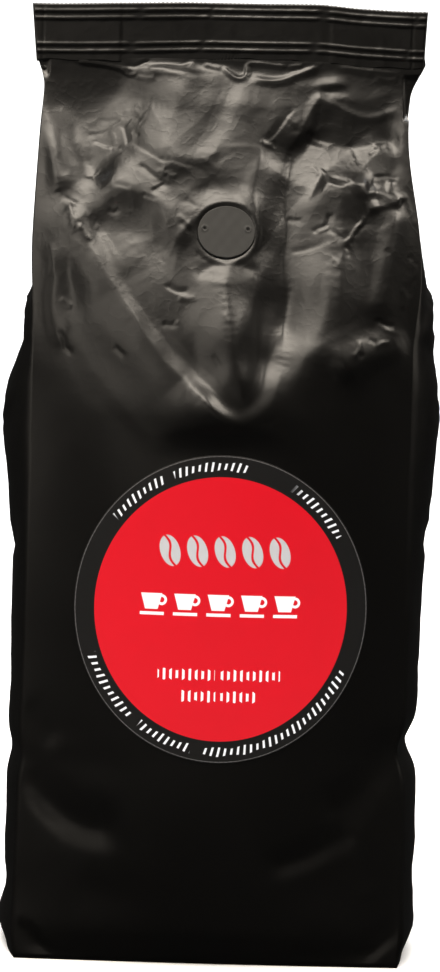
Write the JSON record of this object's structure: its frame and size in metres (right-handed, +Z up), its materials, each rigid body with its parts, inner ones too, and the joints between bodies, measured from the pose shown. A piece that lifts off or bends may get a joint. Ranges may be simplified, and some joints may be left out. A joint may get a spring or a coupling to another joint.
{
  "type": "coffee bag",
  "caption": "Upright filled side-gusset bag of satin black film with a flat ribbed top seal, a round degassing valve and a round red front label.",
  "frame": {"origin": "middle of the flat bottom, on the surface that the bag stands on", "axes": "+Z up, the front with the label and the valve faces -Y, +X is to the right when the front is looked at"},
  "size_m": [0.154, 0.0924, 0.332],
  "materials": {
    "film": "satin black laminate film with fine creases",
    "label": "red printed sticker with a black ring, satin",
    "valve": "satin grey film over the valve disc"
  },
  "bodies": {
    "root": {"bag": "film", "label": "label", "valve": "valve"}
  },
  "joints": []
}
